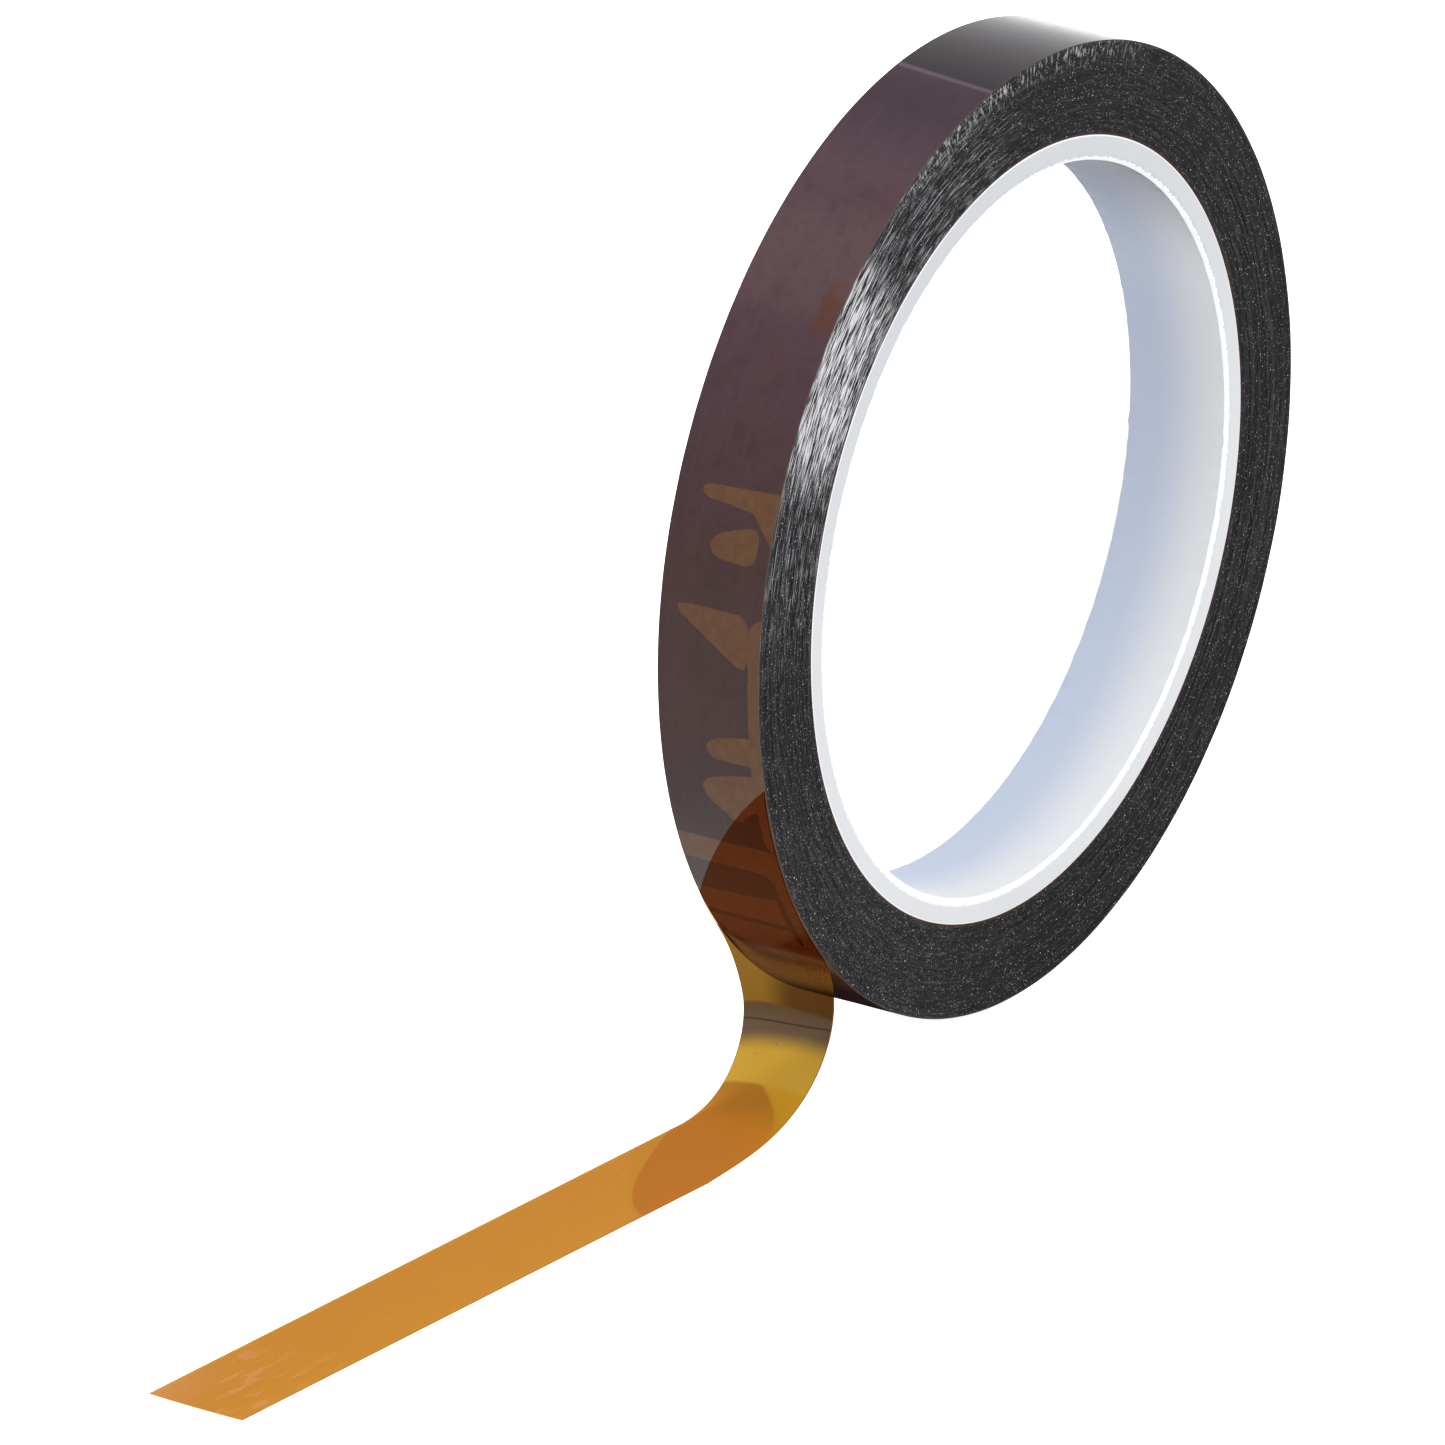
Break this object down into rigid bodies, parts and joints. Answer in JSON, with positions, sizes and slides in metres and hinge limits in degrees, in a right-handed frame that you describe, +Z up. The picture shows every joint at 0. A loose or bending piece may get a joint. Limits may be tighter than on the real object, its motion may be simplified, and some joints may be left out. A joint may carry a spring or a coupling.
{
  "type": "film tape roll",
  "caption": "Narrow roll of amber see-through film adhesive tape on a white plastic core, standing on its rim with a peeled tail lying flat.",
  "frame": {"origin": "centre of the core's bore, halfway across the tape's width", "axes": "+Y along the roll's axis, +Z up when the roll stands on its rim, and the peeled tail runs out towards -X"},
  "size_m": [0.1825, 0.0201, 0.1012],
  "materials": {
    "core_plastic": "satin",
    "wound_tape": "semi-gloss, streaked round the roll",
    "top_turn": "gloss",
    "film": "gloss, see-through",
    "adhesive": "tacky, see-through"
  },
  "bodies": {
    "free_tape": {"peel_film": "film", "peel_adhesive": "adhesive", "run_film": "film", "run_adhesive": "adhesive"},
    "roll": {"core": "core_plastic", "wound_tape": "wound_tape", "top_turn_adhesive": "adhesive", "top_turn_film": "top_turn"},
    "tape_end": {"end_film": "film", "end_adhesive": "adhesive"}
  },
  "joints": [
    {"name": "unwind", "type": "hinge", "parent": "free_tape", "child": "roll", "pos_m": [0, 0, 0], "axis": [0, -1, 0], "range_deg": [0, 360]},
    {"name": "pull", "type": "slide", "parent": "free_tape", "child": "tape_end", "axis": [-0.9943, 0.1063, 0], "range_m": [0, 0.3185], "deforming": ["run_film", "run_adhesive"]}
  ],
  "couplings": [
    {"joint": "pull", "follows": "unwind", "m_per_rad": 0.05057}
  ]
}
